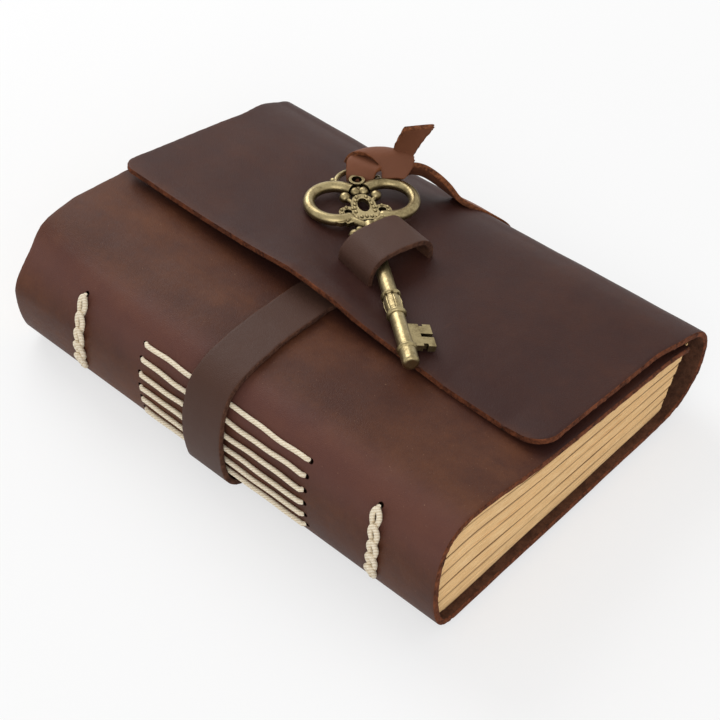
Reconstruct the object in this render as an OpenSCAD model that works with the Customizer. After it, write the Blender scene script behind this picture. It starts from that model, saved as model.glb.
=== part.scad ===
// Leather wrap journal: one leather cover folded round a sewn page block, held shut
// by a strap that is woven through the flap and pinned with a skeleton key.
// X runs from the spine to the fore-edge, Y from the tail to the head, Z up.
// The origin is under the middle of the closed book, on the surface it lies on.

/* [Page block] */
// Height of the pages from tail to head
page_h = 173; // [150:1:200]
// Width of the pages from the folds to the fore-edge
page_w = 120; // [112:1:135]
// Thickness of the sewn folds at the spine
block_t = 36.6; // [32:0.2:40]
// How much thinner the block is at the fore-edge
block_taper = 14.6; // [10:0.2:17]
// Number of sewn signatures
signatures = 6; // [4:1:8]
// Groove between two signatures
fold_groove = 0.3; // [0.1:0.05:0.6]
// Depth of the wavy torn edge
deckle = 0.7; // [0.2:0.1:1.5]
// How far the lowest pages stop short of the top ones
fore_lean = 11; // [6:0.5:13]

/* [Leather cover] */
// Thickness of the cover leather
leather_t = 2; // [1.4:0.1:2.6]
// How far the cover stands past the pages at head and tail
cover_over = 2.5; // [1:0.1:5]
// Swell of the rounded spine
spine_bulge = 3.6; // [2:0.1:5]
// Space between the page edges and the wrapped leather
fore_gap = 4.8; // [4:0.1:8]
// Distance of the flap's cut edge from the spine
flap_edge_x = 44.5; // [40:0.5:50]
// Set-back of the flap from the cover's ends
flap_inset = 1.8; // [0.5:0.1:4]
// Radius of the flap's corners
flap_corner_r = 8; // [3:0.5:14]

/* [Strap] */
// Thickness of the strap and the lace
strap_t = 1.8; // [1.2:0.1:2.2]
// Width of the strap
strap_w = 15; // [12:0.5:18]
// Offset of the strap from the middle, towards the head
strap_y = 1.5; // [-5:0.5:5]
// Distance of the first flap slit from the spine
slit_x = 63; // [60:0.5:66]
// Distance between the two flap slits
slit_gap = 23.9; // [23.5:0.1:28]
// Turn of the arch towards the tail in degrees
arch_skew = 9.5; // [6:0.5:14]
// Length of the strap's tongue past the second slit
tongue_l = 13; // [8:0.5:16]
// Distance of the slit in the back cover from the spine
back_slit_x = 88; // [75:1:95]
// Length of the strap's end inside the back cover
inner_end_l = 20; // [12:1:30]

/* [Sewing] */
// Diameter of the waxed thread
thread_d = 1.3; // [0.9:0.1:1.5]
// Distance of the head chain stitch from the middle
head_chain_y = 58.5; // [50:0.5:70]
// Distance of the tail chain stitch from the middle
tail_chain_y = 65.5; // [50:0.5:72]
// Head end of the long stitches
long_head_y = 29.2; // [20:0.1:40]
// Tail end of the long stitches
long_tail_y = 38.6; // [20:0.1:45]
// Width of one chain link
link_w = 3.4; // [2.8:0.1:4.4]

/* [Key] */
// Length from the tip to the centre of the cup in the bow
key_l = 88; // [84:0.5:94]
// Diameter of the shank
shank_d = 4.8; // [4:0.1:5]
// Diameter of the collar rings
collar_d = 6.4; // [5.4:0.1:6.4]
// Diameter of the rod that the bow is bent from
bow_rod_d = 3.8; // [3:0.1:4.4]
// Radius of each lobe of the bow, to the middle of the rod
lobe_r = 8.8; // [8:0.1:9.6]
// Sideways distance of the lobe centres from the shank
lobe_y = 8.5; // [8.2:0.1:9]
// Radius of the bail over the cup, to the middle of its rod
bail_r = 6.8; // [6:0.1:7.6]
// Reach of the bit from the shank's axis
bit_reach = 9.2; // [7:0.1:9.2]
// Thickness of the bit
bit_t = 2.1; // [1.5:0.1:2.5]
// Angle of the key from the X axis in degrees
key_angle = 53; // [50:0.5:56]
// Length of key from the tip to the middle of the arch
key_through = 51.3; // [50:0.1:54]

/* [Lace] */
// Width of the lace
lace_w = 7.5; // [5:0.5:9]

/* [Hidden] */

seat = 0.1;                       // clearance of parts that lie on each other
slot_gap = 0.3;                   // clearance of the strap in its slits, all round
curve_steps = 4;                  // straight pieces between two points of an outline
cover_h = page_h + 2 * cover_over;
spine_h = block_t + 2 * leather_t + 2 * seat;
wrap_x = page_w + fore_gap + leather_t;   // outermost point of the fore-edge fold
lid_drop = block_taper + 1.2;
flap_gap = strap_t + 0.55;        // room under the flap for the strap

// Vector and curve helpers
function unit(v) = v / norm(v);
function mix(a, b, k) = a + (b - a) * k;
function spline_point(a, b, c, d, k) =
    0.5 * ((2 * b) + (c - a) * k + (2 * a - 5 * b + 4 * c - d) * k * k
    + (3 * b - a - 3 * c + d) * k * k * k);
function spline(p, steps = curve_steps) = [
    for (i = [0:len(p) - 2], j = [0:steps - 1])
        spline_point(p[max(i - 1, 0)], p[i], p[i + 1], p[min(i + 2, len(p) - 1)], j / steps),
    p[len(p) - 1]];
function along(p, i) = unit(p[min(i + 1, len(p) - 1)] - p[max(i - 1, 0)]);
function side_of(p, i) = [-along(p, i)[1], along(p, i)[0]];
function offset_line(p, d) = [for (i = [0:len(p) - 1]) p[i] + side_of(p, i) * d];
function reversed(p) = [for (i = [len(p) - 1:-1:0]) p[i]];
function band(p, near, far) = concat(offset_line(p, near), reversed(offset_line(p, far)));
function run_up(p, i = 0, sum = 0) = i >= len(p) ? [] :
    concat([sum + (i == 0 ? 0 : norm(p[i] - p[i - 1]))],
        run_up(p, i + 1, sum + (i == 0 ? 0 : norm(p[i] - p[i - 1]))));
function total(p) = run_up(p)[len(p) - 1];
function at_length(p, s) = let (r = run_up(p)) [
    lookup(s, [for (i = [0:len(p) - 1]) [r[i], p[i][0]]]),
    lookup(s, [for (i = [0:len(p) - 1]) [r[i], p[i][1]]])];

// Height of the front cover's outer face, as shares of the width and of the drop
function lid(share, drop) = [page_w * share, spine_h - lid_drop * drop];
lid_points = [lid(0.965, 0.82), lid(0.88, 0.67), lid(0.75, 0.565), lid(0.58, 0.465),
    lid(0.46, 0.385), lid(0.36, 0.3), lid(0.28, 0.2), lid(0.2, 0.085), lid(0.13, 0.01)];
// Outer face of the spine, as shares of the bulge and of its height
function spine_at(share, up) = [-spine_bulge * share, spine_h * up];
spine_points = [spine_at(-2.35, 0.995), spine_at(-1, 0.952), spine_at(-0.05, 0.87),
    spine_at(0.55, 0.745), spine_at(0.88, 0.61), spine_at(1, 0.46), spine_at(0.92, 0.315),
    spine_at(0.64, 0.18), spine_at(0.2, 0.08), spine_at(-0.6, 0.02), spine_at(-1.8, 0)];
// Top face of the flap is a flat ramp between two points, which the key lies on
flap_front = [flap_edge_x, spine_h - lid_drop * 0.305 + flap_gap + leather_t];
flap_slope = 4.85;                // degrees down towards the fore-edge
flap_run = page_w - 20 - flap_edge_x;
flap_back = flap_front + flap_run * [1, -tan(flap_slope)];
function fold_at(back, up) = [wrap_x - back, flap_back[1] * up];
fold_points = [fold_at(29, 0), fold_at(19, 0.01), fold_at(12.8, 0.045), fold_at(7.4, 0.125),
    fold_at(3.2, 0.25), fold_at(0.8, 0.4), fold_at(0, 0.565), fold_at(1.1, 0.72),
    fold_at(5, 0.855), fold_at(11.8, 0.938), fold_at(18.8, 0.98)];

lid_curve = spline(concat(lid_points, spine_points));
fold_curve = spline(concat(fold_points, [flap_back]));
cover_path = offset_line(concat(lid_curve, fold_curve), leather_t / 2);
// The flap hangs on from the last point of the fold and ends in the cut edge
flap_path = offset_line([fold_curve[len(fold_curve) - 2], flap_back,
    mix(flap_back, flap_front, 0.5), flap_front], leather_t / 2);

// Thread stations up the spine, at equal steps along the outer face
spine_face = reversed(spline(spine_points));
face_run = total(spine_face);
stitch_low = 0.34 * spine_h;
stitch_step = 0.66 * spine_h / (signatures - 1);
function station(i) = at_length(spine_face, stitch_low + i * stitch_step);
function station_ahead(i) = at_length(spine_face, stitch_low + i * stitch_step + 1);
function station_up(i) = unit(station_ahead(i) - station(i));
function station_out(i) = [-station_up(i)[1], station_up(i)[0]];
fold_depth = leather_t + seat + 1.1 + thread_d / 2;   // thread's run inside a signature

// Frame of the flap's top at the first slit, where everything on the flap is placed
slit_z = flap_front[1] - (slit_x - flap_edge_x) * tan(flap_slope);
key_w = collar_d / 2 + seat;      // height of the key's axis over the flap
cross_s = 8.7;                    // where the key crosses the strap, from the first slit
arch_h = key_w + collar_d / 2 + 0.9 + strap_t / 2;   // middle of the leather at its highest
arch_points = [[0, -leather_t - flap_gap / 2], [0, 0], [0.05, 3.1], [0.45, 4.7], [1.6, 6.6],
    [3.8, arch_h - 0.5], [7.4, arch_h], [12, arch_h + 0.1], [17, arch_h], [20.4, arch_h - 0.7],
    [22.6, arch_h - 2.2], [slit_gap - 0.15, 4], [slit_gap, 2.4], [slit_gap, 0],
    [slit_gap, -leather_t - 0.25 - strap_t / 2]];
strap_lift = seat + strap_t / 2;        // middle of the strap over the leather
over_thread = thread_d + 2 * seat + strap_t / 2;
bottom_z = -strap_t - seat;
lace_x = wrap_x + seat + strap_t / 2;   // middle of the lace where it lies on the fold
mid_x = (lace_x + strap_t / 2 - spine_bulge - over_thread - strap_t / 2) / 2;

// Places a child of the book frame on the surface that the book lies on
module placed() { translate([-mid_x, 0, -bottom_z]) children(); }
// Stretches an outline drawn in X and Z along Y, centred on y
module along_y(points, width, y = 0) {
    translate([0, y + width / 2, 0]) rotate([90, 0, 0])
        linear_extrude(height = width) polygon(points);
}
module on_flap() {
    translate([slit_x, strap_y, slit_z]) rotate([0, flap_slope, 0]) children();
}
module on_arch() { on_flap() rotate([0, 0, -arch_skew]) children(); }
module in_key() {
    on_arch() translate([cross_s, 0, key_w]) rotate([0, 0, key_angle + arch_skew])
        translate([-key_through, 0, 0]) children();
}

// A round rod in the XY plane with square corners, each bent to the same radius
module bent_rod(points, d, bend) {
    last = len(points) - 1;
    for (i = [0:last - 1]) {
        run = unit(points[i + 1] - points[i]);
        from = points[i] + run * (i == 0 ? 0 : bend);
        to = points[i + 1] - run * (i == last - 1 ? 0 : bend);
        translate([from[0], from[1], 0]) rotate([0, 90, atan2(run[1], run[0])])
            cylinder(h = norm(to - from), d = d, $fn = 16);
    }
    for (i = [1:last - 1]) {
        u = unit(points[i] - points[i - 1]);
        v = unit(points[i + 1] - points[i]);
        middle = points[i] + (v - u) * bend;
        start = u[0] * v[1] - u[1] * v[0] > 0 ? -v : u;
        translate([middle[0], middle[1], 0]) rotate([0, 0, atan2(start[1], start[0])])
            rotate_extrude(angle = 90, $fn = 32) translate([bend, 0]) circle(d = d, $fn = 16);
    }
}
// A flat ribbon swept along points, each with the direction of its width
module ribbon(points, sideways, width, t) {
    last = len(points) - 1;
    corners = [for (i = [0:last]) let (
        d = unit(points[min(i + 1, last)] - points[max(i - 1, 0)]),
        b = unit(sideways[i] - (sideways[i] * d) * d), n = cross(d, b))
        for (c = [[1, 1], [-1, 1], [-1, -1], [1, -1]])
            points[i] + b * c[0] * width / 2 + n * c[1] * t / 2];
    polyhedron(points = corners, faces = concat([[0, 1, 2, 3]],
        [[for (k = [3:-1:0]) last * 4 + k]],
        [for (i = [0:last - 1], k = [0:3]) [i * 4 + k, (i + 1) * 4 + k, (i + 1) * 4 + (k + 1) % 4]],
        [for (i = [0:last - 1], k = [0:3])
            [i * 4 + k, (i + 1) * 4 + (k + 1) % 4, i * 4 + (k + 1) % 4]]));
}

// Leather: back cover, spine, front cover and the flap that wraps the fore-edge
module at_station(i) {
    p = station(i);
    n = station_out(i);
    translate([p[0], 0, p[1]]) rotate([0, atan2(n[0], n[1]), 0]) children();
}
module stitch_hole(i, y) {
    at_station(i) translate([0, y, -leather_t - 1])
        cylinder(h = leather_t + 2, d = thread_d + 2 * seat, $fn = 24);
}
module flap_outline() {
    reach = cover_h / 2 - flap_inset;
    linear_extrude(height = 2 * spine_h) difference() {
        translate([flap_edge_x - 5, -cover_h / 2]) square([wrap_x - flap_edge_x + 5, cover_h]);
        for (m = [0, 1]) mirror([0, m]) polygon(concat(
            [[wrap_x - 14, cover_h / 2 + 1], [wrap_x - 14, cover_h / 2], [page_w - 12, reach]],
            [for (a = [90:10:180]) [flap_edge_x + flap_corner_r, reach - flap_corner_r]
                + flap_corner_r * [cos(a), sin(a)]],
            [[flap_edge_x, 0], [flap_edge_x - 6, 0], [flap_edge_x - 6, cover_h / 2 + 1]]));
    }
}
module cover() {
    color("saddlebrown") placed() difference() {
        union() {
            along_y(band(cover_path, -leather_t / 2, leather_t / 2), cover_h);
            intersection() {
                along_y(band(flap_path, -leather_t / 2, leather_t / 2), cover_h);
                flap_outline();
            }
        }
        for (i = [0:signatures - 1], y = [head_chain_y, long_head_y, -long_tail_y, -tail_chain_y])
            stitch_hole(i, y);
        on_arch() for (s = [0, slit_gap])
            translate([s - strap_t / 2 - slot_gap, -strap_w / 2 - slot_gap, -leather_t - 1.5])
                cube([strap_t + 2 * slot_gap, strap_w + 2 * slot_gap, leather_t + 3]);
        translate([back_slit_x - strap_t / 2 - slot_gap, strap_y - strap_w / 2 - slot_gap, -1])
            cube([strap_t + 2 * slot_gap, strap_w + 2 * slot_gap, leather_t + 2]);
        lace_slot();
    }
}

// Pages: one block in signatures, each with a rounded fold and a torn fore-edge
lid_inner = offset_line(lid_curve, leather_t + 3.5 * seat);
floor_inner = offset_line(fold_curve, leather_t + seat);
function page_bottom(x) = lookup(x, [for (i = [0:4 * curve_steps])
    [floor_inner[i][0], floor_inner[i][1]]]);
function page_end(i) = page_w - fore_lean * (1 - (i + 0.5) / signatures);
function block_top(x) = lookup(x, [for (i = [len(lid_points) * curve_steps:-1:0])
    [lid_inner[i][0], lid_inner[i][1]]]);
function fold_x(up) = lookup(up, [for (p = spine_face) [p[1] / spine_h, p[0]]]) + leather_t + seat;
function page_z(x, share) = mix(page_bottom(x), block_top(x), share);
function signature_band(i) = let (
    lo = i / signatures, hi = (i + 1) / signatures, mid = (lo + hi) / 2,
    xs = [for (k = [0:16]) mix(9, page_end(i), k / 16)],
    half = fold_groove / 2,
    nose_lo = fold_x(0.05 + 0.92 * lo), nose_hi = fold_x(0.05 + 0.92 * hi)) concat(
    [for (x = xs) [x, page_z(x, lo) + half]],
    [[page_end(i) + 0.4, page_z(page_end(i), mid)]],
    [for (x = reversed(xs)) [x, page_z(x, hi) - half]],
    [[max(nose_hi, 0.2) + 2.1, page_z(9, hi) - half - 0.25],
     [max(nose_hi, 0.2) + 0.9, page_z(9, mix(mid, hi, 0.65))],
     [(nose_lo + nose_hi) / 2 + 0.35, page_z(9, mid)],
     [max(nose_lo, 0.2) + 0.9, page_z(9, mix(mid, lo, 0.65))],
     [max(nose_lo, 0.2) + 2.1, page_z(9, lo) + half + 0.25]]);
function torn(i, k) = deckle * (0.5 * sin(47 * k + 131 * i) + 0.3 * sin(113 * k + 57 * i)
    + 0.2 * sin(211 * k + 29 * i));
module torn_edge(i) {
    rows = 36;
    linear_extrude(height = 2 * spine_h) polygon(concat(
        [[-10, -page_h / 2], [page_end(i) - deckle, -page_h / 2]],
        [for (k = [0:rows]) [page_end(i) - deckle + torn(i, k), page_h * (k / rows - 0.5)]],
        [[-10, page_h / 2]]));
}
module thread_channel(i) {
    bore = thread_d + 4 * seat;
    at_station(i) for (run = [[long_head_y, head_chain_y], [-tail_chain_y, -long_tail_y]])
        translate([-bore / 2, run[0] - bore, -fold_depth - bore / 2])
            cube([bore, run[1] - run[0] + 2 * bore, fold_depth + bore]);
}
module page_block() {
    core_in = 1.5;
    core_xs = [for (x = [6:6:page_w - fore_lean - 3]) x];
    color("burlywood") placed() difference() {
        union() {
            along_y(concat([for (x = core_xs) [x, page_z(x, 0.04)]],
                [for (x = reversed(core_xs)) [x, page_z(x, 0.96)]]), page_h - 2 * core_in);
            for (i = [0:signatures - 1]) intersection() {
                along_y(signature_band(i), page_h);
                torn_edge(i);
            }
        }
        for (i = [0:signatures - 1]) thread_channel(i);
        translate([back_slit_x - inner_end_l - 1, strap_y - strap_w / 2 - slot_gap, 0])
            cube([inner_end_l + strap_t + 2, strap_w + 2 * slot_gap,
                leather_t + strap_t + 3 * seat]);
    }
}

// Sewing: one run of thread for each signature, linked by chain stitches at the ends
link_d = thread_d - 0.15;         // the thread is pulled thinner in the links
link_lift = 1.4;                  // middle of a link over the spine's outer face
link_tilt = 12;                   // degrees that a link's upper end stands out
module thread_run(i) {
    lift = thread_d / 2 + 0.08;
    stub = i == signatures - 1 ? 1.7 : 0.3;     // the last run reaches up to the last link
    at_station(i) rotate([90, 0, 90]) bent_rod([[head_chain_y, stub],
        [head_chain_y, -fold_depth], [long_head_y, -fold_depth], [long_head_y, lift],
        [-long_tail_y, lift], [-long_tail_y, -fold_depth], [-tail_chain_y, -fold_depth],
        [-tail_chain_y, stub]], thread_d, 0.9);
}
module chain_link(i, y) {
    a = station(i);
    b = station(i + 1);
    middle = (a + b) / 2 + link_lift * unit([a[1] - b[1], b[0] - a[0]]);
    side = (link_w - thread_d) / 2;
    half = norm(b - a) / 2 + 0.75 - side;
    translate([middle[0], y, middle[1]])
        rotate([0, -atan2(b[1] - a[1], b[0] - a[0]) - link_tilt, 0]) for (m = [0, 180])
            rotate([0, 0, m]) translate([half, 0, 0]) {
                rotate([0, 0, -90]) rotate_extrude(angle = 180, $fn = 48)
                    translate([side, 0]) circle(d = link_d, $fn = 16);
                translate([0, side, 0]) rotate([0, -90, 0])
                    cylinder(h = 2 * half, d = link_d, $fn = 16);
            }
}
module sewing_thread() {
    color("cornsilk") placed() {
        for (i = [0:signatures - 1]) thread_run(i);
        for (i = [0:signatures - 2], y = [head_chain_y, -tail_chain_y]) chain_link(i, y);
    }
}

// Strap: inside the back cover, under it, round the spine, over the front cover,
// up through the flap, over the key and down again
function lifted(p, i) = let (up = p[i][1] / spine_h, near = (16 - p[i][0]) / 8)
    mix(strap_lift, over_thread, min(1, max(0, min(up / 0.16, (1.02 - up) / 0.12, near))));
function lid_top(x) = lookup(x, [for (i = [len(lid_points) * curve_steps:-1:0]) lid_curve[i]]);
strap_over_lid = [for (i = [len(lid_curve) - 1:-1:0])
    if (lid_curve[i][0] < slit_x - 2 || lid_curve[i][1] < spine_h / 2)
    lid_curve[i] + side_of(lid_curve, i) * -lifted(lid_curve, i)];
strap_path = concat([[back_slit_x, -strap_lift], [40, -strap_lift],
    [14, -strap_lift]], strap_over_lid, [[slit_x, lid_top(slit_x) + strap_lift]]);
arch_path = spline(arch_points, 3);
module strap() {
    color("sienna") placed() {
        along_y(band(strap_path, -strap_t / 2, strap_t / 2), strap_w, strap_y);
        translate([back_slit_x - strap_t / 2, strap_y - strap_w / 2, -strap_lift - strap_t / 2])
            cube([strap_t, strap_w, leather_t + 2 * strap_t + 2 * seat]);
        translate([back_slit_x - inner_end_l, strap_y - strap_w / 2, leather_t + seat])
            cube([inner_end_l, strap_w, strap_t]);
        on_arch() {
            along_y(band(arch_path, -strap_t / 2, strap_t / 2), strap_w);
            translate([slit_gap - strap_t / 2, -strap_w / 2, -leather_t - 0.25 - strap_t])
                cube([tongue_l, strap_w, strap_t]);
        }
    }
}

// Key: one casting, drawn along X with its tip at the origin
module ring_at(t, r) {
    translate([t, 0, 0]) rotate([0, 90, 0]) rotate_extrude($fn = 48) {
        translate([r - 0.95, 0]) circle(d = 1.9, $fn = 20);
        translate([0, -0.95]) square([r - 0.95, 1.9]);
    }
}
module key_shank() {
    r = shank_d / 2;
    rotate([0, 90, 0]) rotate_extrude($fn = 48) polygon(concat([[0, 0]],
        [for (a = [0:15:90]) [r - 0.9 + 1.15 * sin(a), 1 - cos(a)]],
        [[r + 0.25, 5.6], [r, 5.8], [r, 21.4], [r, 22.2],
         [r + 0.35, 24.2], [r + 0.55, 26.4], [r + 0.35, 28.6], [r, 30.6],
         [r, key_l - 30], [r + 0.5, key_l - 29.4], [r + 0.5, key_l - 28.4], [r - 0.3, key_l - 27.6],
         [r - 0.3, key_l - 22], [0, key_l - 22]]));
    for (t = [6.5, 22.2, 30.7]) ring_at(t, collar_d / 2);
}
module barrel_flutes() {
    curve_r = 16.3;
    for (a = [0:45:315]) rotate([a, 0, 0])
        translate([26.4, 0, shank_d / 2 + 0.7 - curve_r]) rotate([90, 0, 0]) rotate([0, 0, 77])
            rotate_extrude(angle = 26, $fn = 48) translate([curve_r, 0]) circle(0.45, $fn = 16);
}
module key_bit() {
    root = bit_reach * 0.58;
    rotate([10, 0, 0]) translate([7.4, 0, -bit_t / 2]) linear_extrude(height = bit_t)
        difference() {
            translate([0, -bit_reach]) square([9.8, bit_reach]);
            translate([4.1, -bit_reach - 1]) square([1.5, bit_reach - root + 1]);
            translate([-1, -root - 1.5]) square([2.1, 1.5]);
            translate([8.9, -root - 1.3]) square([2, 1.3]);
        }
}
module rod_arc(x, y, radius, from, sweep, d) {
    translate([x, y, 0]) rotate([0, 0, from]) rotate_extrude(angle = sweep, $fn = 72)
        translate([radius, 0]) circle(d = d, $fn = 24);
}
function oval(x, a, b) = [for (k = [0:15:345]) [x + a * cos(k), b * sin(k)]];
module crown() {
    band_r = 16;
    band_x = key_l - 34.4;
    plate = 1.5;
    bead_r = 0.62;
    translate([0, 0, -plate / 2]) linear_extrude(height = plate) difference() {
        union() {
            polygon(concat(
                [for (a = [-28:4:28]) [band_x + (band_r + 1.5) * cos(a), (band_r + 1.5) * sin(a)]],
                [for (a = [28:-4:-28]) [band_x + (band_r - 1.5) * cos(a), (band_r - 1.5) * sin(a)]]));
            polygon(oval(band_x + band_r + 5.6, 6.1, 4.1));
            for (m = [-1, 1]) {
                translate([band_x + band_r + 2.7, m * 5.6]) circle(3, $fn = 32);
                translate([band_x + band_r - 0.4, m * 8.8]) circle(2.1, $fn = 24);
            }
        }
        polygon(oval(band_x + band_r + 6, 3.5, 2));
        for (m = [-1, 1]) translate([band_x + band_r + 3, m * 5.6]) circle(1.3, $fn = 20);
    }
    for (a = [-24:6:24]) translate([band_x + band_r * cos(a), band_r * sin(a), plate / 2])
        sphere(bead_r, $fn = 16);
    for (m = [-1, 1]) {
        for (k = [0:4]) translate([band_x + band_r + 2.6 + 1.9 * k, m * (3.15 - 0.1 * k * k), plate / 2])
            sphere(bead_r, $fn = 16);
        for (a = [40:55:260]) translate([band_x + band_r + 3 + 2.2 * cos(a - 90),
            m * (5.6 + 2.2 * sin(a - 90)), plate / 2]) sphere(bead_r * 0.9, $fn = 16);
        translate([band_x + band_r - 0.4, m * 8.9, plate / 2]) sphere(1.1, $fn = 20);
        translate([key_l - 7.1, m * 5.1, 0]) sphere(1.8, $fn = 24);
        rod_to([key_l - 11, m * 2.7], [key_l - 7.1, m * 5.1], 1.4);
    }
}
module rod_to(a, b, d) {
    translate([a[0], a[1], 0]) rotate([0, 90, atan2(b[1] - a[1], b[0] - a[0])])
        cylinder(h = norm(b - a), d = d, $fn = 24);
}
module key_bow() {
    lobe_x = key_l - 9.6;
    foot_a = 200;                 // where the lobe's rod ends beside the crown's band
    foot = [lobe_x + lobe_r * cos(foot_a), lobe_y + lobe_r * sin(foot_a)];
    for (m = [0, 1]) mirror([0, m, 0]) {
        rod_arc(lobe_x, lobe_y, lobe_r, -45, 45 + foot_a, bow_rod_d);
        translate([key_l - 4.8, 1.3, 0]) sphere(1.75, $fn = 24);
        rod_to(foot + [0.4, 0.8], [key_l - 23, 0.4], bow_rod_d * 0.7);
        translate([foot[0], foot[1], 0]) sphere(bow_rod_d * 0.47, $fn = 24);
        translate([key_l - 26.7, 5.4, 0]) sphere(2, $fn = 24);
        translate([key_l - 24.4, 3.5, 0]) sphere(1.35, $fn = 24);
        rod_to([key_l - 25.5, 0], [key_l - 24.7, 3.4], 1.6);
        translate([key_l + 2, bail_r + 0.6, 0]) sphere(1.15, $fn = 24);
    }
    rod_arc(key_l, 0, bail_r, -96, 192, 1.8);
    translate([key_l, 0, -1.3]) difference() {
        cylinder(h = 3, d = 5.2, $fn = 32);
        translate([0, 0, 1]) cylinder(h = 3, d = 3.4, $fn = 32);
    }
    rod_to([key_l - 5.2, 0], [key_l - 2, 0], 2);
}
module key() {
    color("darkkhaki") placed() in_key() {
        difference() {
            key_shank();
            barrel_flutes();
        }
        key_bit();
        key_bow();
        crown();
    }
}

// Lace: looped through the bail, knotted beside it, one end standing up and the
// other laid over the fore-edge fold into a slot. Points are in the book frame.
lace_turn = 70;                   // where the lace leaves the bail, from the key's line
lace_tail = [[106.6, 23.6, 45], [109, 23.2, 49], [110.8, 22, 53], [113, 20, 58]];
lace_end_y = -6;
lace_end_z = 18.2;
lace_stand = [[105.8, 21.5, 43.4], [109.5, 17.2, 43.8], [113.2, 12, 42], [116.6, 6.6, 38.8],
    [121, 1.4, 35.4], [125.4, -2.8, 30.9], [127.6, -5.2, 25.5], [lace_x, lace_end_y, 21],
    [lace_x, lace_end_y, lace_end_z]];
lace_stand_width = [[0.7, 0.7, 0], [0.75, 0.65, 0], [0.8, 0.6, 0], [0.7, 0.7, -0.1],
    [0.4, 0.9, -0.1], [0.1, 1, 0], [0, 1, 0], [0, 1, 0], [0, 1, 0]];
function stadium(x0, x1, r) = concat(
    [for (a = [-90:15:90]) [x1 - r + r * cos(a), r * sin(a)]],
    [for (a = [90:15:270]) [x0 + r + r * cos(a), r * sin(a)]]);
module lace_slot() {
    translate([wrap_x - 5, lace_end_y - lace_w / 2 - slot_gap, lace_end_z - strap_t / 2 - slot_gap])
        cube([8, lace_w + 2 * slot_gap, strap_t + 2 * slot_gap]);
}
module lace_knot() {
    inner = 1.1;                  // from the bail's middle to the lace's inner face
    loop_from = -62;              // arc of the bail that the loop covers, from the key's line
    loop_turn = 64;
    in_key() translate([key_l, 0, 0]) {
        rotate([0, 0, loop_from]) rotate_extrude(angle = loop_turn, $fn = 96)
            translate([bail_r, 0]) difference() {
                circle(inner + strap_t, $fn = 32);
                circle(inner, $fn = 32);
            }
        rotate([0, 0, -lace_turn]) {
            translate([12.2, 0, 4.8]) along_y(stadium(-4.4, 4.4, 2.5), 10);
            translate([bail_r - 0.8, -2.7, 2.05]) cube([5, 5.4, strap_t]);
        }
    }
}
module lace() {
    color("peru") placed() {
        lace_knot();
        ribbon(lace_stand, lace_stand_width, lace_w, strap_t);
        translate([wrap_x - leather_t - 1.6, lace_end_y - lace_w / 2, lace_end_z - strap_t / 2])
            cube([lace_x + strap_t / 2 - wrap_x + leather_t + 1.6, lace_w, strap_t]);
        ribbon(lace_tail, [for (p = lace_tail) [0.75, -0.66, 0]], lace_w, strap_t);
    }
}

cover();
page_block();
sewing_thread();
strap();
key();
lace();
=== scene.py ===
# %% [markdown]
# # A leather wrap journal, pinned shut with a key
# The real object is a hand-bound notebook. One piece of oiled leather folds round the pages,
# a strap goes round the spine and through two slits in the flap, and an old-fashioned key
# slides under the strap to hold it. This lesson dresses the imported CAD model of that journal.
# Soft pieces are rebuilt as fine surfaces in place of the plain CAD solids, and the cast key
# keeps its CAD shape and gets a finish and some relief.

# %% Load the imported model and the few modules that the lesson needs
import math

import bpy
import numpy as np
from mathutils import Matrix

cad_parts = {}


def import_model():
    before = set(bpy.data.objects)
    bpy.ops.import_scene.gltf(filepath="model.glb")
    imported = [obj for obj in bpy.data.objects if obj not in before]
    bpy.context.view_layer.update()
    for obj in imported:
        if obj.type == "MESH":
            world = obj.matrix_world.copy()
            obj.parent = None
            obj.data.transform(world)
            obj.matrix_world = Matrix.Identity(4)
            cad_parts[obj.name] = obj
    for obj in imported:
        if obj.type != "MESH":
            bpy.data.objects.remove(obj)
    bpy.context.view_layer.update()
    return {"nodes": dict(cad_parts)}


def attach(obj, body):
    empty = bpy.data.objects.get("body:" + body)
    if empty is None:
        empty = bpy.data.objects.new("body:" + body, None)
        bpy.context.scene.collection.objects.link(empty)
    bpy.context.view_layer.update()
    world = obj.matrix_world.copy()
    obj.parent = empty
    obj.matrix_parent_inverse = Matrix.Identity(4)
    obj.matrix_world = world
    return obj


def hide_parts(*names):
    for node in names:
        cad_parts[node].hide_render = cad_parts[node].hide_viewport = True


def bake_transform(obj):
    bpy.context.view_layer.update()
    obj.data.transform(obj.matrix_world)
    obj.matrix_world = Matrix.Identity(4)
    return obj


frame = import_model()

# %% [markdown]
# ## Units and places
# The book is measured in millimetres from the lower corner of its spine, as a binder would.
# `world` moves such points to the row frame, in metres: the book's middle is at x = 0 and the
# strap that passes under it lifts it by 1.9 mm.

# %% Sizes of the book, in millimetres
BOOK_SHIFT = np.array([-60.9, 0.0, 1.9])
PAGE_W, PAGE_H, SPINE_H, LID_DROP, BULGE = 120.0, 173.0, 40.8, 15.8, 3.6
LEATHER, COVER_H, WRAP_X, FLAP_X = 2.0, 178.0, 126.8, 44.5
FLAP_INSET, FLAP_CORNER, FLAP_SLOPE = 1.8, 8.0, math.radians(4.85)
SIGNATURES = 6
print("book", COVER_H, "x", PAGE_W, "x", SPINE_H, "mm, pages", PAGE_H, "mm tall")


def world(points):
    """Book millimetres to metres in the row frame."""
    return (np.asarray(points, float) + BOOK_SHIFT) * 0.001


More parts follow.
